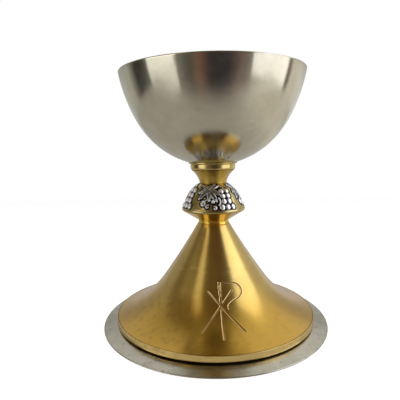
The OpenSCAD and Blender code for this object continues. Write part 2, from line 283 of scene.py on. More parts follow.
# %% Neck
bolt_hole_r = 4.25
neck_top_r, neck_bottom, neck_top = reach("neck")
neck_bottom_r, neck_sag = 8.85, 0.95
neck_edge = 0.25
neck_start = [neck_bottom_r, neck_bottom + neck_edge]
neck_side = sagged_arc(neck_start, [neck_top_r, neck_top - neck_edge], neck_sag, 40)[0]
neck_outline = np.concatenate([
    [[bolt_hole_r, neck_bottom], [neck_bottom_r - neck_edge, neck_bottom]], neck_side,
    [[neck_top_r - neck_edge, neck_top], [bolt_hole_r, neck_top]]])
turned_piece("gilt_neck", refined(neck_outline, 0.5), "neck")

# %% [markdown]
# ## Knop
# The knop is what the hand holds: a hollow cast dome with a plain sloping border, standing on an upside-down
# cone with a rounded edge. A short spigot on the cone centres the dome, and a tube inside takes the pull of
# the bolt. The whole knop could be one outline, but its pieces differ in polish and are made one by one.

# %% Knop
dome_ball_r, dome_top_r, dome_wall, dome_top_t = 19.4, 8.6, 1.8, 2.0
dome_drop, border_h = 1.7, 4.8
border_r, dome_base, dome_top = reach("knop_dome")
dome_middle = dome_base - dome_drop


def on_ball(radius, low, high, count):
    """Points of the outline of a ball round the dome's middle, between two heights above that middle."""
    angles = np.linspace(np.arcsin(low / radius), np.arcsin(high / radius), count)
    return np.stack([radius * np.cos(angles), dome_middle + radius * np.sin(angles)], 1)


lining_r = dome_ball_r - dome_wall
border_edge, dome_edge = 0.1, 0.3
border_line = np.array([[border_r, dome_base + border_edge], [border_r, dome_base + 2 * border_edge]])
dome_skin = np.concatenate([
    border_line, on_ball(dome_ball_r, dome_drop + border_h + dome_edge, dome_top - dome_middle, 60)])
dome_skin = refined(dome_skin, 0.3, closed=False)
dome_lining = on_ball(lining_r, dome_top - dome_top_t - dome_middle, dome_drop, 30)
dome_outline = np.concatenate([
    [[border_r - border_edge, dome_base]], dome_skin,
    [[dome_top_r - dome_edge, dome_top], [bolt_hole_r, dome_top]],
    [[bolt_hole_r, dome_top - dome_top_t]], dome_lining])
turned_piece("gilt_dome", refined(dome_outline, 0.6), "knop_dome")

# %% Underside of the knop and ring
knop_r, knop_bottom, spigot_top = reach("knop_base")
knop_foot_r, bead_h = 10.2, 2.2
knop_edge_w, knop_edge_h, spigot_gap = 0.15, 0.1, 0.1
bead_low, bead_high = np.radians(58), np.radians(45)
bead_r = bead_h / (np.sin(bead_low) + np.sin(bead_high))
bead_turns = np.linspace(-bead_low, bead_high, 16)
bead_middle = np.array([knop_r - bead_r, dome_base - bead_r * np.sin(bead_high)])
bead = bead_middle + bead_r * np.stack([np.cos(bead_turns), np.sin(bead_turns)], 1)
spigot_r = np.sqrt(lining_r ** 2 - (spigot_top - dome_middle) ** 2) - spigot_gap
knop_outline = np.concatenate([
    [[bolt_hole_r, knop_bottom], [knop_foot_r - knop_edge_w, knop_bottom],
     [knop_foot_r, knop_bottom + knop_edge_h]], bead,
    [[spigot_r, dome_base], [spigot_r, spigot_top], [bolt_hole_r, spigot_top]]])
turned_piece("gilt_knop_underside", refined(knop_outline, 0.5), "knop_base")

cone_top_r, ring_r, taper_r, taper_h = 10.45, 10.0, 9.9, 1.0
ring_bottom, ring_top = reach("stem_ring")[1:]
ring_edge = ring_bottom + taper_h
ring_corners = [[bolt_hole_r, ring_bottom], [cone_top_r, ring_bottom], [taper_r, ring_edge],
                [ring_r, ring_edge + ring_r - taper_r], [ring_r, ring_top], [bolt_hole_r, ring_top]]
ring_outline = refined(round_corners(ring_corners, [0.1, 0.02, 0.02, 0.05, 0.35, 0.1]), 0.5)
turned_piece("gilt_stem_ring", ring_outline, "stem_ring")

# %% [markdown]
# ## Vine relief
# Four small silver castings are soldered to the dome, each with a vine leaf, a bunch of grapes and curling
# tendrils. The caster blackens them and then rubs the high places bright again. They could be modelled leaf
# by leaf. Here one casting is a height over the dome instead: each grape, leaf and tendril gives a height
# from how far a point lies from it, and the highest one wins. The same forms say where the black stays.

# %% Distances on the ball
grid_turns = np.radians(np.arange(-42.0, 48.0, 0.66))
grid_rises = np.radians(np.arange(5.0, 68.0, 0.6))


def direction(turn, rise):
    """Unit vector from the ball's centre, for a turn from the front and a rise above the base (radians)."""
    turn, rise = np.broadcast_arrays(turn, rise)
    return np.stack([np.sin(turn) * np.cos(rise), -np.cos(turn) * np.cos(rise), np.sin(rise)], -1)


relief_grid = direction(grid_turns[None, :], grid_rises[:, None])
far_away = 99.0


def distance_to_line(points, line):
    """Least distance of each point from a line through several points: for every stretch, the nearest
    point of it is found by its share along the stretch, kept between 0 and 1. That share is returned too,
    counted along the whole line from 0 to 1."""
    flat = points.reshape(-1, 1, points.shape[-1])
    start, step = line[:-1], np.diff(line, axis=0)
    share = np.clip(((flat - start) * step).sum(-1) / (step * step).sum(-1), 0, 1)
    gaps = np.linalg.norm(flat - start - share[..., None] * step, axis=-1)
    nearest = gaps.argmin(1)
    rows = np.arange(len(flat))
    along = (nearest + share[rows, nearest]) / len(step)
    return gaps[rows, nearest].reshape(points.shape[:-1]), along.reshape(points.shape[:-1])


def smooth_line(points, steps=8):
    """A Catmull-Rom curve through the points: each stretch is a cubic whose slope at a point is half the
    way from the point before to the point after."""
    points = np.array(points, float)
    ends = np.concatenate([[2 * points[0] - points[1]], points, [2 * points[-1] - points[-2]]])
    p0, p1, p2, p3 = (ends[i:len(ends) - 3 + i, None] for i in range(4))
    f = np.linspace(0, 1, steps, endpoint=False)[None, :, None]
    curve = p1 + f * (p2 - p0) / 2 + f ** 2 * (2 * p0 - 5 * p1 + 4 * p2 - p3) / 2 \
        + f ** 3 * (3 * p1 - p0 - 3 * p2 + p3) / 2
    return np.concatenate([curve.reshape(-1, points.shape[1]), points[-1:]])


def ease(low, high, value):
    """A smooth step: 0 below low, 1 above high, and 3 f^2 - 2 f^3 between them."""
    share = np.clip((value - low) / (high - low), 0, 1)
    return share * share * (3 - 2 * share)


print("one casting is a grid of", relief_grid.shape[:2], "points")

# %% Places on the dome
# Places are a turn from the casting's middle and a rise above the base, both in degrees.
relief_mm = relief_grid * dome_ball_r
degree_mm = np.radians(dome_ball_r)


def places_on_ball(places):
    """Points on the dome's ball, in millimetres, for a list of places."""
    turn, rise = np.radians(np.array(places, float)).T
    return dome_ball_r * direction(turn, rise)


print("one degree on the dome is", round(degree_mm, 3), "mm")

# %% Grapes
bunch_place, bunch_rows = (28.0, 11.0), (3, 2, 2, 2)
row_rise, grape_turn = 10.8, 11.0
grape_half_w, grape_half_h, grape_rise = 1.75, 1.85, 0.75


def grape_places():
    """Every grape's place: rows up the bunch, each centred on it."""
    for row, count in enumerate(bunch_rows):
        rise = bunch_place[1] + row_rise * row
        for i in range(count):
            yield bunch_place[0] + (i - (count - 1) / 2) * grape_turn / np.cos(np.radians(rise)), rise


def grape_form(turn, rise):
    """A flat-topped oval bead: where its edge is at distance 1, its height goes with 1 - distance^4. Like
    every form, it gives the gap to its edge, below zero inside, its height and how bright it is rubbed."""
    across = (np.degrees(grid_turns)[None, :] - turn) * np.cos(np.radians(rise)) * degree_mm / grape_half_w
    up = (np.degrees(grid_rises)[:, None] - rise) * degree_mm / grape_half_h
    gap = np.hypot(across, up)
    return (gap - 1) * grape_half_w, grape_rise * (1 - gap ** 4), ease(0.98, 0.82, gap)


forms = [grape_form(*place) for place in grape_places()]
print("grapes in one casting:", len(forms))

# %% Leaf
leaf_heart = (-11.0, 46.4)
leaf_tips = [(-40, 58), (-37.5, 38), (-32, 24.5), (-8, 21.5), (7.5, 20.6), (16.6, 33.8), (20, 58), (7, 63)]
lobe_half_w, lobe_tip_w, leaf_rise = 1.6, 0.12, 0.5
vein_w, groove_gap, groove_w, groove_depth = 0.3, 0.66, 0.24, 0.3


def leaf_form():
    """The leaf: pointed lobes that share one blade. A lobe's half width goes with l^0.55 (1 - l)^0.7, where
    l runs from 0 at the heart to 1 at the tip, times 2.36, which makes its largest value 1. Down its middle
    runs a raised vein between two grooves."""
    edge = np.full(relief_grid.shape[:2], far_away)
    blade, grooves, veins = np.zeros((3, *edge.shape))
    for tip in leaf_tips:
        gap, along = distance_to_line(relief_mm, places_on_ball([leaf_heart, tip]))
        half_w = 2.36 * lobe_half_w * along ** 0.55 * (1 - along) ** 0.7 + lobe_tip_w
        edge = np.minimum(edge, gap - half_w)
        blade = np.maximum(blade, 1 - np.minimum(gap / half_w, 1) ** 4)
        groove = np.exp(-((gap - groove_gap) / groove_w) ** 2) * ease(0.95, 0.75, along)
        vein = np.exp(-(gap / vein_w) ** 2)
        veins = np.maximum(veins, vein)
        grooves = np.maximum(grooves * (1 - vein), groove)
    bright = ease(0.2, 0.5, blade) * (1 - grooves) * (0.78 + 0.22 * veins)
    return edge, leaf_rise * blade - groove_depth * grooves, bright


forms.append(leaf_form())
print("lobes of the leaf:", len(leaf_tips))

# %% Tendrils
tendril_r, tendril_rise = 0.42, 0.55


def curl(turn, rise, radius, start, sweep):
    """Places of a curl that winds in: its radius in millimetres shrinks to a third while its angle sweeps."""
    share = np.linspace(0, 1, 16)
    angle = np.radians(start + sweep * share)
    reach_mm = radius * (1 - 0.66 * share)
    across = reach_mm * np.cos(angle) / np.cos(np.radians(rise))
    return np.stack([turn + across / degree_mm, rise + reach_mm * np.sin(angle) / degree_mm], 1)


def tendril_form(places):
    """A round wire along a smooth curve: its height over the curve is that of half a circle."""
    gap = distance_to_line(relief_mm, smooth_line(places_on_ball(places)))[0]
    share = np.sqrt(np.clip(1 - (gap / tendril_r) ** 2, 0, 1))
    return gap - tendril_r, tendril_rise * share, ease(0.2, 0.6, share)


tendrils = [
    [(-5, 50), (8, 53), (18, 55), (27, 52), (30, 45)],
    np.concatenate([[(-8, 28), (-13, 25)], curl(-19.8, 17.7, 1.75, 70, 500)]),
    curl(-11.2, 11.9, 1.2, 70, 260),
    curl(2.9, 9.6, 1.2, 110, -280),
    curl(0, 21.5, 0.95, 90, 330),
    [(11.5, 29), (14, 24), (13.5, 18.5), (11, 15)]]
forms += [tendril_form(places) for places in tendrils]
edge_gap, form_height, form_bright = (np.array(part) for part in zip(*forms))
print("forms in one casting:", len(forms))

# %% Height of one casting
# Between and around its forms the casting is a thin dark ground, which then sinks into the dome.
ground_h, ground_w, ground_fade, sunk = 0.12, 0.75, 0.5, -0.3
no_form = -1.0
heights = np.where(edge_gap < 0, form_height, no_form)
highest = heights.argmax(0)[None]
rubbed = np.where(edge_gap.min(0) < 0, np.take_along_axis(form_bright, highest, 0)[0], 0.0)
ground = ground_h - (ground_h - sunk) * ease(ground_w, ground_w + ground_fade, edge_gap.min(0))
relief_height = np.maximum(heights.max(0), ground)
print("the relief stands", round(float(relief_height.max()), 2), "mm above the dome at most")

# %% Skin and back of one casting
back_d = 0.1
skin_rise = np.arctan2(dome_skin[:, 1] - dome_middle, dome_skin[:, 0])
skin_r = np.interp(grid_rises, skin_rise, np.hypot(dome_skin[:, 0], dome_skin[:, 1] - dome_middle))
skin_r = skin_r[:, None, None]
outer_skin = relief_grid * (skin_r + relief_height[..., None])
inner_skin = relief_grid * (skin_r + sunk - back_d)

# Faces that are sunk all over are left out. An edge that only one face uses is then on the casting's rim,
# where a wall joins the skin to the back.
sunk_margin = 0.05
rows, columns = relief_height.shape
cell = (np.arange(rows - 1)[:, None] * columns + np.arange(columns - 1)).ravel()
quads = np.stack([cell, cell + 1, cell + columns + 1, cell + columns], 1)
quads = quads[relief_height.ravel()[quads].max(1) > sunk + sunk_margin]
edges = np.concatenate([quads[:, [i, (i + 1) % 4]] for i in range(4)])
edge_key = np.sort(edges, 1) @ [rows * columns, 1]
_, first, uses = np.unique(edge_key, return_index=True, return_counts=True)
rim_edges = edges[first[uses == 1]]
back = rows * columns
walls = np.stack([rim_edges[:, 1], rim_edges[:, 0], rim_edges[:, 0] + back, rim_edges[:, 1] + back], 1)
casting_faces = np.concatenate([quads, quads[:, ::-1] + back, walls])
casting_points = np.concatenate([outer_skin.reshape(-1, 3), inner_skin.reshape(-1, 3)])
used, casting_faces = np.unique(casting_faces, return_inverse=True)
casting_points, casting_faces = casting_points[used], casting_faces.reshape(-1, 4)
casting_rubbed = np.concatenate([rubbed.ravel(), np.zeros(back)])[used]
print("one casting has", len(casting_faces), "faces and", len(rim_edges), "edges round its rim")

# %% Four castings round the dome
relief_count = 4
relief_angles = np.arange(relief_count) * 2 * np.pi / relief_count
cosine, sine = np.cos(relief_angles)[:, None], np.sin(relief_angles)[:, None]
x, y, z = casting_points.T
relief_points = np.stack([x * cosine - y * sine, x * sine + y * cosine, z + dome_middle + 0 * cosine], 2)
relief_faces = casting_faces[None] + len(casting_points) * np.arange(relief_count)[:, None, None]
make_piece("silver_vine_relief", relief_points, relief_faces.reshape(-1, 4), "chalice", "vine_relief",
           {"rubbed": np.tile(casting_rubbed, relief_count)}, sharp=75)

# %% [markdown]
# ## Foot
# The foot is a sheet of brass spun to a hollow-sided cone that flares out to the edge, then gilt. A sign is
# cut into its front with a graver: a tall P crossed by an X. A bump in the material could draw it, but real
# grooves stay in the mesh, so they are pressed into the grid: each point sinks by how near it lies to a
# stroke. Only the front needs a fine grid, so the rows and the turns are set close together there and far
# apart elsewhere.

# %% Outline of the foot
cone_top = reach("foot_shell")[2]
foot_bend, foot_t = [35.4, foot_stand + 25.2], 1.0
foot_edge = [65.5, foot_stand + 3.6]
cone_side, bend_heading = sagged_arc([cone_top_r, cone_top], foot_bend, -0.5, 200)
flare = arc(foot_bend, bend_heading, foot_edge, 200)[0]
foot_line = np.concatenate([cone_side, flare[1:]])
foot_way = length_along(foot_line)


def foot_at(way):
    """Points of the foot's outside at these distances down its side from the cone's top."""
    return np.stack([np.interp(way, foot_way, foot_line[:, i]) for i in (0, 1)], 1)


sign_turn, sign_cross = 5.2, 51.8
sign_top, sign_end = -14.2, 21.0
sign_margin, row_step, first_way = 1.5, 0.2, 0.4
fine_rows = sign_cross + np.arange(sign_top - sign_margin, sign_end + sign_margin, row_step)
outside_way = np.concatenate([np.linspace(first_way, fine_rows[0], 60)[:-1], fine_rows,
                              np.linspace(fine_rows[-1], foot_way[-1], 14)[1:]])
print("foot is", round(foot_way[-1], 1), "mm down its side, with", len(outside_way), "rows outside")

# %% Strokes of the sign
# Places are millimetres across from the crossing of the strokes and millimetres down the foot from it.
stem = [[(-0.5, -14.2), (0.05, 0.0)], [(1.2, -13.8), (0.15, 0.0)], [(0.0, 2.4), (0.0, 21.0)]]
cross_strokes = [[(-7.1, -8.6), (0.0, 0.0), (12.6, 17.0)], [(7.1, -8.6), (0.0, 0.0), (-12.2, 16.6)]]
p_bowl = smooth_line([(1.3, -13.7), (5.2, -13.6), (9.2, -13.1), (12.4, -11.0), (13.6, -7.4), (11.7, -4.6),
                      (7.8, -2.6), (5.1, -0.6), (4.5, 1.0), (5.0, 2.3)])
strokes = [np.array(stroke, float) for stroke in stem + cross_strokes] + [p_bowl]
cut_half_w, cut_floor, cut_d = 0.5, 0.4, 0.26
burr_place, burr_w, burr_h = 1.2, 0.2, 0.03

fine_turns = np.arange(-16.0, 34.0, 0.32)
coarse_turns = np.linspace(fine_turns[-1], fine_turns[0] + 360, 120)[1:-1]
foot_turns = np.radians(np.concatenate([fine_turns, coarse_turns]))


def cut_depth(gap):
    """Depth of a graver's cut: a flat floor with sloping walls, and a low burr along both of its edges. The
    half width of the floor and the place of the burr are shares of the cut's half width."""
    trough = cut_d * ease(cut_half_w, cut_floor * cut_half_w, gap)
    return trough - burr_h * np.exp(-((gap - burr_place * cut_half_w) / burr_w) ** 2)


outside = foot_at(outside_way)
across = outside[:, :1] * (foot_turns - np.radians(sign_turn))[None, :]
sign_plane = np.stack([across, np.broadcast_to(outside_way[:, None] - sign_cross, across.shape)], 2)
sign_middle, sign_reach = np.radians([9.0, 27.0])
near = np.abs(foot_turns - sign_middle) < sign_reach
stroke_gap = np.full(across.shape, far_away)
for stroke in strokes:
    stroke_gap[:, near] = np.minimum(stroke_gap[:, near], distance_to_line(sign_plane[:, near], stroke)[0])
print("points in the grooves:", int((stroke_gap < cut_half_w).sum()))

# %% Foot shell
slope = np.gradient(outside, axis=0)
outward = np.stack([-slope[:, 1], slope[:, 0]], 1) / np.hypot(*slope.T)[:, None]
# Above the sign runs a faint ring, such as a spinning tool leaves where it pauses.
mark_way, mark_w, mark_d = 30.6, 0.7, 0.08
depth = cut_depth(stroke_gap) + mark_d * np.exp(-((outside_way - mark_way) / mark_w) ** 2)[:, None]
sunk_r = outside[:, :1] - outward[:, :1] * depth
sunk_z = outside[:, 1:] - outward[:, 1:] * depth
outside_grid = round_points(sunk_r, foot_turns, sunk_z)

lining_start, lining_gap, edge_heading = 1.2, 0.02, -62.0
foot_inside = shifted(foot_at(np.linspace(lining_start, foot_way[-1] - lining_gap, 40)), -foot_t)[::-1]
edge_round = arc(foot_line[-1], edge_heading, foot_inside[0], 5)[0][1:-1]
top_edge, top_lining = 0.3, 0.75
top_inner = [[cone_top_r - top_lining, cone_top - foot_t], [bolt_hole_r, cone_top - foot_t],
             [bolt_hole_r, cone_top], [cone_top_r - top_edge, cone_top]]
rest_outline = np.concatenate([edge_round, foot_inside, top_inner])
foot_grid = np.concatenate([outside_grid, spin(rest_outline, foot_turns)])
foot_outline = np.concatenate([outside, rest_outline])
foot_along = along_grid(foot_outline, len(foot_turns))
foot_groove = np.concatenate([ease(0.0, cut_d, cut_depth(stroke_gap)),
                              np.zeros((len(rest_outline), len(foot_turns)))])
# Near the foot's edge the seam attribute rises to 1, and there the seam is painted dark brown: partly dirt,
# partly painted shade.
dirt_and_shade_end, dirt_and_shade_full = 0.5, 0.1
foot_seam = ease(dirt_and_shade_end, dirt_and_shade_full, np.abs(foot_along - foot_way[-1]))
foot_faces = grid_faces(*foot_grid.shape[:2], True)[:, ::-1]
make_piece("gilt_foot", foot_grid, foot_faces, "chalice", "foot_shell",
           {"along": foot_along, "groove": foot_groove, "seam": foot_seam})

# %% [markdown]
# ## Band and paten
# A band is soldered round the foot's edge and turned in underneath, so that the chalice stands on a flat
# ring. The seam between them shows as a dark line, partly dirt and partly shade. A dark stripe alone could
# stand for it, but a groove also catches shadow, so the band's outline dips there, and an attribute paints
# the seam dark brown as well: partly dirt, partly painted shade. The paten is a shallow plate, spun to a
# flat floor and a long sloping side. It lies hollow side down, and the chalice stands on the raised floor,
# which leaves a dark gap under the gilt edge.

# %% Band
band_r, band_bottom, band_top = reach("foot_band")
band_t, band_lean, flange_t, standing_r = 2.4, 0.5, 1.2, 54.0
seam_w, seam_d, seam_gap, seam_reach = 0.32, 0.6, 0.02, 1.1
lap_w, lap_low, lap_high = 0.25, 1.0, 0.55
band_corners = [[standing_r, band_bottom], [band_r, band_bottom], [band_r - band_lean, band_top],
                [foot_edge[0] + seam_w, band_top], [foot_edge[0] + seam_gap, band_top - seam_d],
                [foot_edge[0] - lap_w, band_top - lap_low], [band_r - band_t, band_top - lap_high],
                [band_r - band_t, band_bottom + flange_t], [standing_r, band_bottom + flange_t]]
band_outline = refined(round_corners(band_corners, [0.3, 0.4, 0.1, 0.05, 0.05, 0.05, 0.05, 0.4, 0.3], 7), 0.4)
# In the band's seam the same dark brown is painted: partly dirt, partly painted shade.
in_seam = (band_outline[:, 0] < foot_edge[0] + seam_w) & (band_outline[:, 1] > band_top - seam_reach)
band_turns = even_turns(300)
band_seam = np.broadcast_to(in_seam[:, None], (len(band_outline), len(band_turns)))
band_along = along_grid(band_outline, len(band_turns))
make_piece("gilt_foot_band", spin(band_outline, band_turns), grid_faces(*band_seam.shape, True), "chalice",
           "foot_band", {"along": band_along, "seam": band_seam})

# %% Paten
paten_r, _, floor_top = reach("paten")
paten_t, well_r, rim_start, wall_share = 0.9, 57.0, 72.5, 0.25
floor_under = floor_top - paten_t
wall_mid = [well_r + wall_share * (rim_start - well_r), floor_under * (1 - wall_share)]
floor_run = np.stack([np.linspace(0, well_r, 60), np.full(60, floor_under)], 1)
wall_upper, wall_heading = arc(floor_run[-1], 0, wall_mid, 14)
wall_foot = [65.0, 2.0]
wall_lower = arc(wall_mid, wall_heading, wall_foot, 16)[0]
rim_run = np.linspace(wall_foot, [paten_r - paten_t / 2, 0.0], 30)
paten_under = np.concatenate([floor_run, wall_upper[1:], wall_lower[1:], rim_run[1:]])
paten_over = shifted(paten_under, paten_t)[::-1]
paten_edge = arc(paten_under[-1], 0, paten_over[0], 9)[0][1:-1]
paten_outline = np.concatenate([paten_under, paten_edge, paten_over])
paten_outline[[0, -1], 0] = 0
turned_piece("silver_paten", paten_outline, "paten", closed=False, body="paten", count=300)

# %% [markdown]
# ## Inside the stem
# A brass bolt whose dished head is soldered under the bowl runs down through the stem, and a nut with a flat
# and a split washer draws everything together from inside the foot. None of it shows in the photograph. A
# Screw modifier could wind the thread. Here the radius of the bolt's grid falls and rises evenly with height
# plus turn, because then the thread can fade out into the plain shank.

# %% Bolt
bolt_r, tip_h, tip_step, bolt_edge = 4.0, 0.6, 0.5, 0.2
thread_l, thread_pitch, thread_d, thread_fade = 16.0, 1.25, 0.6, 3.0
shank_gap, shank_step, dish_edge_w, dish_edge_h = 0.3, 3.0, 0.1, 0.15
bolt_bottom = reach("tie_bolt")[1]
thread_top = bolt_bottom + thread_l
thread_rows = np.arange(bolt_bottom + tip_h, thread_top, thread_pitch / 8)
shank = np.array([[bolt_r, thread_top + shank_gap], [bolt_r, collar_bottom]])
head_dish = np.linspace(bolt_head_r - dish_edge_w, 0, 14)
bolt_line = np.concatenate([
    [[0, bolt_bottom], [bolt_r - tip_step - bolt_edge, bolt_bottom],
     [bolt_r - tip_step, bolt_bottom + bolt_edge]],
    np.stack([np.full(len(thread_rows), bolt_r), thread_rows], 1),
    refined(shank, shank_step, closed=False),
    [[bolt_head_r - bolt_edge, collar_bottom], [bolt_head_r, collar_bottom + bolt_edge],
     [bolt_head_r, bowl_height(bolt_head_r) - dish_edge_h]],
    np.stack([head_dish, bowl_height(head_dish)], 1)])
bolt_turns = even_turns(72)
wave = (bolt_line[:, 1:] / thread_pitch + bolt_turns[None, :] / (2 * np.pi)) % 1
threaded = (bolt_line[:, :1] == bolt_r) & (bolt_line[:, 1:] < thread_top)
fade = ease(thread_top, thread_top - thread_fade, bolt_line[:, 1:])
bolt_radius = bolt_line[:, :1] - np.where(threaded, thread_d * np.abs(2 * wave - 1) * fade, 0)
bolt_grid = round_points(bolt_radius, bolt_turns, bolt_line[:, 1:])
make_piece("brass_tie_bolt", bolt_grid, grid_faces(*bolt_radius.shape, False), "chalice", "tie_bolt",
           {"along": along_grid(bolt_line, len(bolt_turns))})

# %% Nut
nut_flat_r, nut_bottom, nut_top = reach("hex_nut")
nut_corner_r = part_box("hex_nut")[1].x / MM
print("nut is", 2 * nut_flat_r, "mm across its flats, corners reach", round(nut_corner_r, 2), "mm")
bore_gap, bore_edge, chamfer_share, chamfer_angle = 0.1, 0.4, 0.97, 30.0
nut_bore_r = bolt_r + bore_gap
nut_turns = even_turns(144)
# A side lies nut_flat_r / cos(a) from the axis, where a is the turn from the middle of its flat.
to_flat = (nut_turns + np.pi / 6) % (np.pi / 3) - np.pi / 6
side_r = nut_flat_r / np.cos(to_flat)
chamfer_r = chamfer_share * nut_flat_r
chamfer_drop = np.maximum(0, side_r - chamfer_r) * np.tan(np.radians(chamfer_angle))
face_r = np.minimum(side_r, chamfer_r)
level = np.ones(len(nut_turns))
nut_rows = [(nut_bore_r * level, (nut_bottom + bore_edge) * level),
            ((nut_bore_r + bore_edge) * level, nut_bottom * level), (face_r, nut_bottom * level),
            (side_r, nut_bottom + chamfer_drop), (side_r, nut_top - chamfer_drop), (face_r, nut_top * level),
            ((nut_bore_r + bore_edge) * level, nut_top * level),
            (nut_bore_r * level, (nut_top - bore_edge) * level)]
nut_grid = np.stack([round_points(r, nut_turns, z) for r, z in nut_rows])
make_piece("brass_nut", nut_grid, grid_faces(*nut_grid.shape[:2], True), "chalice", "hex_nut",
           {"along": np.broadcast_to(np.arange(len(nut_rows))[:, None], nut_grid.shape[:2])}, sharp=20)

# %% [markdown]
# ## Finishes
# Metal shows little colour of its own: what the eye reads is how sharply it mirrors. Each finish below is one
# principled shader whose roughness comes from how the surface was made: spun, turned, polished or cast.
# Turned metal is covered with fine rings, which blur reflections up and down far more than sideways. That is
# why light and dark stand as upright stripes on the bowl and the cone.

# %% Material helpers


def linear(colour):
    """An sRGB hex colour as linear red, green, blue and alpha."""
    value = np.array([int(colour[i:i + 2], 16) for i in (1, 3, 5)]) / 255
    return (*np.where(value <= 0.04045, value / 12.92, ((value + 0.055) / 1.055) ** 2.4), 1.0)


def add(tree, kind, inputs=None, **settings):
    """Adds a node, applies its settings, and sets or links its inputs by name or number."""
    node = tree.nodes.new("ShaderNode" + kind)
    for key, value in settings.items():
        setattr(node, key, value)
    for key, value in (inputs or {}).items():
        if isinstance(value, bpy.types.NodeSocket):
            tree.links.new(value, node.inputs[key])
        else:
            node.inputs[key].default_value = value
    return node


def new_material(name):
    """A new material, its node tree and its principled shader."""
    material = bpy.data.materials.new(name)
    material.use_nodes = True
    return material, material.node_tree, material.node_tree.nodes["Principled BSDF"]


def new_metal(name, anisotropy=0.0):
    """The same for a metal. Where it was turned, reflections stretch across the rings that the lathe left."""
    material, tree, shader = new_material(name)
    shader.inputs["Metallic"].default_value = 1.0
    if anisotropy:
        shader.inputs["Anisotropic"].default_value = anisotropy
        shader.inputs["Anisotropic Rotation"].default_value = 0.25
        tangent = add(tree, "Tangent", direction_type="RADIAL", axis="Z")
        tree.links.new(tangent.outputs["Tangent"], shader.inputs["Tangent"])
    return material, tree, shader


# %% Patterns and mixes
def lathe_lines(tree, pitch_mm, round_mm=50.0):
    """Noise in rings: it changes within a pitch along the outline, and within round_mm round the axis."""
    place = add(tree, "TexCoord").outputs["Object"]
    along = add(tree, "Attribute", attribute_name="along").outputs["Fac"]
    ring = add(tree, "Math", {0: along, 1: 1 / pitch_mm}, operation="MULTIPLY").outputs[0]
    level_scale = (1 / (round_mm * MM), 1 / (round_mm * MM), 0.0)
    drift = add(tree, "VectorMath", {0: place, 1: level_scale}, operation="MULTIPLY").outputs[0]
    stack = add(tree, "CombineXYZ", {"Z": ring}).outputs[0]
    both = add(tree, "VectorMath", {0: drift, 1: stack}, operation="ADD").outputs[0]
    return add(tree, "TexNoise", {"Vector": both, "Scale": 1.0, "Detail": 3.0}).outputs["Fac"]


def blotches(tree, size_mm, detail=4.0):
    """Noise in soft patches of about this size."""
    place = add(tree, "TexCoord").outputs["Object"]
    inputs = {"Vector": place, "Scale": 1 / (size_mm * MM), "Detail": detail}
    return add(tree, "TexNoise", inputs).outputs["Fac"]


def between(tree, value, low, high, out_low=0.0, out_high=1.0):
    """A value mapped smoothly from one range to another."""
    inputs = {"Value": value, "From Min": low, "From Max": high, "To Min": out_low, "To Max": out_high}
    return add(tree, "MapRange", inputs, interpolation_type="SMOOTHSTEP").outputs["Result"]


def blend_colours(tree, factor, first, second):
    """A mix of two colours, each a hex value or another mix."""
    colours = [linear(c) if isinstance(c, str) else c for c in (first, second)]
    return add(tree, "Mix", {0: factor, 6: colours[0], 7: colours[1]}, data_type="RGBA").outputs[2]


# %% Silver
silver_pit = "#4c463c"


def satin_silver(name, dull, bright, stain, stain_share, pit_share, roughness, anisotropy):
    """Silver plate, spun and then rubbed with fine abrasive while it turned. It looks grey and soft, with
    upright stripes of light, faint rings, warm stains where hands and cloths have been, and dark pits."""
    material, tree, shader = new_metal(name, anisotropy)
    # The real rings are about 0.05 mm apart, too fine to show, so they are drawn at 0.3 mm.
    rings = lathe_lines(tree, 0.3)
    clouds = blotches(tree, 9.0, 7.0)
    colour = blend_colours(tree, between(tree, clouds, 0.35, 0.65), dull, bright)
    marks = between(tree, blotches(tree, 4.0, 6.0), 0.56, 0.72, 0.0, stain_share)
    pits = between(tree, blotches(tree, 1.5, 1.0), 0.68, 0.74, 0.0, pit_share)
    colour = blend_colours(tree, pits, blend_colours(tree, marks, colour, stain), silver_pit)
    tree.links.new(colour, shader.inputs["Base Color"])
    tree.links.new(between(tree, clouds, 0.3, 0.7, roughness, roughness + 0.05), shader.inputs["Roughness"])
    bump = add(tree, "Bump", {"Height": rings, "Strength": 0.05, "Distance": 0.02 * MM})
    tree.links.new(bump.outputs["Normal"], shader.inputs["Normal"])
    return material


bowl_silver = satin_silver("satin_silver_spun", "#b8b29c", "#bfb9a4", "#aca48e", 0.3, 0.1, 0.13, 0.82)
paten_silver = satin_silver("satin_silver_plate", "#aeaa9b", "#bab5a8", "#8c8270", 0.5, 0.35, 0.2, 0.3)
print("silver:", bowl_silver.name, paten_silver.name)

# %% Satin gilt
# The last of these colours is the seam's dark brown: partly dirt, partly painted shade.
worn_gold, gold_pit, cut_tan, seam_dirt_and_shade = "#967038", "#3c2a16", "#b89a72", "#4a2c10"


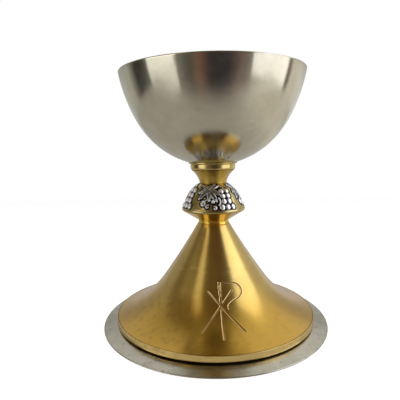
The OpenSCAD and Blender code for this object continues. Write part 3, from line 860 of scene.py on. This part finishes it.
def satin_gilt(name, dull, bright, low, ring_mm, ring_depth, roughness, anisotropy):
    """Brass, spun or turned, rubbed to a satin, gilt and lacquered. It is a deep yellow with upright stripes
    of light, browner in small blotches low on the foot, where the thin gold has worn. The groove attribute,
    set only where a sign is cut, is a duller tan, and the seam attribute paints the seam dark brown: partly
    dirt, partly painted shade."""
    material, tree, shader = new_metal(name, anisotropy)
    rings = lathe_lines(tree, ring_mm)
    clouds = blotches(tree, 20.0)
    colour = blend_colours(tree, between(tree, clouds, 0.35, 0.65), dull, bright)
    place = add(tree, "SeparateXYZ", {0: add(tree, "TexCoord").outputs["Object"]}).outputs
    colour = blend_colours(tree, between(tree, place["Z"], 14 * MM, 36 * MM, 1.0, 0.0), colour, low)
    low_down = between(tree, place["Z"], 6 * MM, 45 * MM, 0.45, 0.1)
    on_left = between(tree, place["X"], -40 * MM, 20 * MM, 1.0, 0.4)
    wear = add(tree, "Math", {0: low_down, 1: on_left}, operation="MULTIPLY").outputs[0]
    spots = between(tree, blotches(tree, 4.0, 6.0), 0.5, 0.7)
    worn = add(tree, "Math", {0: wear, 1: spots}, operation="MULTIPLY").outputs[0]
    pits = between(tree, blotches(tree, 1.6, 1.0), 0.7, 0.76, 0.0, 0.5)
    pits = add(tree, "Math", {0: pits, 1: wear}, operation="MULTIPLY").outputs[0]
    colour = blend_colours(tree, pits, blend_colours(tree, worn, colour, worn_gold), gold_pit)
    groove = add(tree, "Attribute", attribute_name="groove").outputs["Fac"]
    colour = blend_colours(tree, groove, colour, cut_tan)
    # Where the seam attribute is set, the colour is painted dark brown: partly dirt, partly painted shade.
    seam = add(tree, "Attribute", attribute_name="seam").outputs["Fac"]
    tree.links.new(blend_colours(tree, seam, colour, seam_dirt_and_shade), shader.inputs["Base Color"])
    tree.links.new(between(tree, rings, 0.2, 0.8, roughness, roughness + 0.05), shader.inputs["Roughness"])
    bump = add(tree, "Bump", {"Height": rings, "Strength": 1.0, "Distance": ring_depth * MM})
    tree.links.new(bump.outputs["Normal"], shader.inputs["Normal"])
    shader.inputs["Coat Weight"].default_value = 0.3
    shader.inputs["Coat Roughness"].default_value = 0.2
    return material


# The real rings on the foot are about 0.06 mm apart, too fine to show, so they are drawn at 0.35 mm. The
# neck is turned more coarsely and shows its rings, drawn 1.4 mm apart.
foot_gilt = satin_gilt("satin_gilt_spun", "#c0a25a", "#c8ad64", "#bf983e", 0.35, 0.001, 0.215, 0.6)
band_gilt = satin_gilt("satin_gilt_soldered", "#dcbe74", "#e4c882", "#e2c47a", 0.35, 0.001, 0.19, 0.6)
neck_gilt = satin_gilt("satin_gilt_turned", "#ba973a", "#c3a248", "#bf983e", 1.4, 0.25, 0.28, 0.9)
print("satin gilt:", foot_gilt.name, band_gilt.name, neck_gilt.name)


# %% Polished gilt
def polished_gilt(name, dull, bright, roughness):
    """Gilt brass polished on a buff: a clear mirror, a little smeared, with a warm yellow."""
    material, tree, shader = new_metal(name)
    smears = blotches(tree, 7.0)
    colour = blend_colours(tree, between(tree, smears, 0.35, 0.65), dull, bright)
    tree.links.new(colour, shader.inputs["Base Color"])
    tree.links.new(between(tree, smears, 0.3, 0.7, roughness, roughness + 0.06), shader.inputs["Roughness"])
    return material


bright_gilt = polished_gilt("polished_gilt_brass", "#d4b04c", "#dcbc5a", 0.12)
collar_gilt = polished_gilt("polished_gilt_collar", "#bca768", "#c6b276", 0.2)
dome_gilt = polished_gilt("polished_gilt_cast", "#b29f66", "#bdac78", 0.2)
print("polished gilt:", bright_gilt.name, collar_gilt.name, dome_gilt.name)

# %% Relief, brass and steel
sulphur_black, rubbed_white = "#16161a", "#f2f1f2"


def rubbed_silver(name):
    """Cast silver, blackened with liver of sulphur and rubbed bright on its high places. The rubbed
    attribute of the casting runs from 0 in the hollows to 1 on the tops."""
    material, tree, shader = new_metal(name)
    rubbed = add(tree, "Attribute", attribute_name="rubbed").outputs["Fac"]
    tree.links.new(blend_colours(tree, rubbed, sulphur_black, rubbed_white), shader.inputs["Base Color"])
    tree.links.new(between(tree, rubbed, 0.0, 1.0, 0.5, 0.3), shader.inputs["Roughness"])
    return material


def plain_metal(name, colour, worn, roughness):
    """Metal as it left the lathe or the press, never polished: dull, with darker patches of age."""
    material, tree, shader = new_metal(name)
    patches = blotches(tree, 4.0)
    mix = blend_colours(tree, between(tree, patches, 0.4, 0.7, 0.0, 0.6), colour, worn)
    tree.links.new(mix, shader.inputs["Base Color"])
    tree.links.new(between(tree, patches, 0.3, 0.7, roughness, roughness + 0.12), shader.inputs["Roughness"])
    return material


relief_silver = rubbed_silver("oxidised_silver_cast")
brass = plain_metal("brass_turned", "#b8974f", "#7d6231", 0.3)
steel = plain_metal("spring_steel_blackened", "#7c7d80", "#4a4744", 0.35)
print("other metals:", relief_silver.name, brass.name, steel.name)

# %% Put the finishes on
finishes = {"silver_bowl": bowl_silver, "silver_paten": paten_silver, "gilt_foot": foot_gilt,
            "gilt_foot_band": band_gilt, "gilt_neck": neck_gilt, "gilt_collar": collar_gilt,
            "gilt_dome": dome_gilt, "gilt_knop_underside": bright_gilt, "gilt_stem_ring": bright_gilt,
            "silver_vine_relief": relief_silver, "brass_tie_bolt": brass, "brass_nut": brass,
            "foot_washer": brass, "knop_sleeve": brass, "lock_washer": steel}
for name, material in finishes.items():
    piece = bpy.data.objects[name]
    piece.data.materials.clear()
    piece.data.materials.append(material)


def faces_of(piece):
    """Centres and normals of a piece's faces."""
    both = np.zeros((2, len(piece.data.polygons) * 3))
    piece.data.polygons.foreach_get("center", both[0])
    piece.data.polygons.foreach_get("normal", both[1])
    return both.reshape(2, -1, 3)


def second_finish(piece, material, chosen):
    """Puts another finish on the chosen faces of a piece."""
    piece.data.materials.append(material)
    piece.data.polygons.foreach_set("material_index", chosen.astype(np.int32))


centres, normals = faces_of(bowl)
from_middle = centres - [0, 0, (bowl_bottom + ball_r) * MM]
below_rim = centres[:, 2] < (rim_top - sheet_t / 2) * MM
second_finish(bowl, foot_gilt, ((from_middle * normals).sum(1) < 0) & below_rim)
# The rounded edge of the knop is as dull as the dome above it.
knop_underside = bpy.data.objects["gilt_knop_underside"]
second_finish(knop_underside, dome_gilt, faces_of(knop_underside)[0][:, 2] > (dome_base - bead_h) * MM)
print("pieces with a finish:", len(finishes))

# %% [markdown]
# ## Light and floor
# The metal mirrors a room: a large bright window on the right, one on the left that is brighter towards its
# top, and a dark side in front, which shows as brown stripes. Soft boxes stand for the windows. The world is
# three rings of wall colours, low for what the bowl mirrors, and middle and high for what the foot and the
# paten mirror, under a grey ceiling. A picture of a room could be wrapped round it all, but these are easier
# to set one by one. Only rays that bounce see the world: the camera itself sees plain white. The camera also
# sees a white floor with a glow of its own, so that no shadow shows on it, as in the photograph. The metal
# mirrors a table instead, which is greyer and ends in front. Its light is partly painted: it glows a little,
# which lifts the shade round the chalice, and it is painted lighter towards the right, where the right window
# lights it.

# %% Soft boxes
window_distance = 0.8
# Each window has a name, a turn from the front in degrees, its lower and upper end and width in metres, its
# radiance and its colour.
windows = [("right_window", 71, -0.12, 0.36, 0.74, 1.5, "#ecefff"),
           ("right_window_top", 76, 0.36, 1.1, 0.7, 1.75, "#eaf0ff"),
           ("left_window_low", -58, -0.3, 0.0, 0.52, 1.0, "#f8fbff"),
           ("left_window", -59, 0.0, 0.14, 0.5, 1.35, "#f8fbff"),
           ("left_window_high", -58, 0.14, 0.42, 0.54, 2.1, "#f8fbff"),
           ("left_window_top", -43, 0.6, 1.6, 0.26, 0.9, "#fffbe8")]


def soft_box(name, turn, low, high, width, radiance, colour):
    """An upright area light at a turn from the front. Its power is radiance times pi times its area."""
    data = bpy.data.lights.new(name, "AREA")
    data.shape = "RECTANGLE"
    data.size, data.size_y = width, high - low
    data.energy = radiance * np.pi * width * (high - low)
    data.color = linear(colour)[:3]
    light = put_in_scene(name, data)
    angle = np.radians(turn)
    light.location = round_points(window_distance, angle, (low + high) / 2)
    light.rotation_euler = (np.pi / 2, 0, angle)


for window in windows:
    soft_box(*window)

# %% Wall colours
# Each colour stands at its turn from the front, in degrees.
low_walls = [(-180, "#cecdcb"), (-118, "#cbcbc8"), (-108, "#898886"), (-101, "#454544"), (-92, "#454544"),
             (-60, "#959492"), (-42, "#a2a19f"), (-36, "#8e8d8b"), (-29, "#6f6f6d"), (-23, "#6f675d"),
             (-17, "#8d7367"), (-11, "#826159"), (-5, "#594a4a"), (1, "#474247"), (17, "#474247"),
             (23, "#514c53"), (29, "#726364"), (35, "#907e80"), (42, "#958f90"), (56, "#cbcbc8"),
             (96, "#e4e2de"), (100, "#7a6a62"), (104, "#7a6a62"), (108, "#f9f8f5"),
             (130, "#f9f8f5"), (180, "#cecdcb")]
front_walls = [(-100, "#7c7361"), (-70, "#817661"), (-38, "#817359"), (-16, "#73614f"), (-10, "#6e5f4d"),
               (10, "#6e5f4d"), (18, "#695445"), (45, "#736555"), (56, "#adadaa")]
middle_walls = [(-180, "#e7e6e3"), (-150, "#b3b2b0"), (-112, "#adadaa"), *front_walls,
                (105, "#e7e6e3"), (125, "#dad9d6"), (150, "#bcbbb8"), (180, "#e7e6e3")]
high_walls = [(-180, "#f9f8f5"), (-140, "#e1e0dd"), (-112, "#bcbbb8"), *front_walls,
              (105, "#f9f8f5"), (140, "#fffefa"), (180, "#f9f8f5")]
ceiling = "#a09c94"
print("wall colours:", len(low_walls), "low,", len(middle_walls), "middle and", len(high_walls), "high")

# %% World
world = bpy.data.worlds.new("studio")
bpy.context.scene.world = world
world.use_nodes = True
sky = world.node_tree
way = add(sky, "SeparateXYZ", {0: add(sky, "TexCoord").outputs["Generated"]}).outputs
towards_front = add(sky, "Math", {0: way["Y"], 1: -1.0}, operation="MULTIPLY").outputs[0]
turn = add(sky, "Math", {0: way["X"], 1: towards_front}, operation="ARCTAN2").outputs[0]
turn_range = {"Value": turn, "From Min": -np.pi, "From Max": np.pi}
share_of_turn = add(sky, "MapRange", turn_range).outputs["Result"]


def ring_of_walls(colours):
    """One ring of the walls: a ramp of its colours over the share of a full turn."""
    ramp = add(sky, "ValToRGB", {"Fac": share_of_turn})
    stops = ramp.color_ramp.elements
    for place, (turn_degrees, colour) in enumerate(colours):
        at = turn_degrees / 360 + 0.5
        stop = stops[0] if place == 0 else stops.new(at) if place < len(colours) - 1 else stops[-1]
        stop.position = at
        stop.color = linear(colour)
    return ramp.outputs["Color"]


# Each higher ring takes over between two heights of the view, where 0 is level and 1 is straight up.
around = ring_of_walls(low_walls)
above = [(0.0, 0.15, ring_of_walls(middle_walls)), (0.35, 0.55, ring_of_walls(high_walls))]
for start, end, colour in above + [(0.94, 0.995, ceiling)]:
    around = blend_colours(sky, between(sky, way["Z"], start, end), around, colour)
seen = add(sky, "LightPath").outputs["Is Camera Ray"]
sky.links.new(blend_colours(sky, seen, around, "#ffffff"), sky.nodes["Background"].inputs["Color"])

# %% Floor and table
def flat_sheet(name, left, right, front, back):
    """A flat sheet at the height that the paten rests on."""
    corners = [(left, front, 0.0), (right, front, 0.0), (right, back, 0.0), (left, back, 0.0)]
    mesh = bpy.data.meshes.new(name)
    mesh.from_pydata(corners, [], [(0, 1, 2, 3)])
    sheet = put_in_scene(name, mesh)
    return sheet


def paper(name, glow, left, right, low, high, out_low, out_high):
    """Paper with a glow of its own, lighter towards the right and the back, that fades along its length.
    The glow is painted light, and so is the lighter right side, as if a window on the right lit it.
    """
    material, tree, shader = new_material(name)
    shader.inputs["Roughness"].default_value = 0.9
    shader.inputs["Emission Color"].default_value = linear("#ffffff")
    shader.inputs["Emission Strength"].default_value = glow
    place = add(tree, "SeparateXYZ", {0: add(tree, "TexCoord").outputs["Object"]}).outputs
    colour = blend_colours(tree, between(tree, place["X"], 0.05, 0.25), left, right)
    colour = blend_colours(tree, between(tree, place["Y"], 0.5, 1.0), colour, "#f4f3f1")
    tree.links.new(colour, shader.inputs["Base Color"])
    tree.links.new(between(tree, place["Y"], low, high, out_low, out_high), shader.inputs["Alpha"])
    return material


floor = flat_sheet("floor", -1.5, 1.5, -0.6, 1.0)
floor.data.materials.append(paper("white_paper_lit", 0.8, "#f0efec", "#f4f3f1", 0.08, 0.7, 1.0, 0.0))
floor.visible_glossy = False
# The table carries painted light: a small glow lifts the shade round the chalice, and it is painted lighter
# towards the right, where the right window's light falls.
table = flat_sheet("table", -0.52, 0.6, -0.4, 1.0)
table.data.materials.append(paper("grey_paper_painted_light", 0.25, "#848280", "#bcb9b4", -0.34, -0.12, 0.0, 1.0))
table.visible_camera = False
table.visible_diffuse = False
bpy.context.scene.view_settings.view_transform = "Standard"
print("stage:", floor.name, table.name)
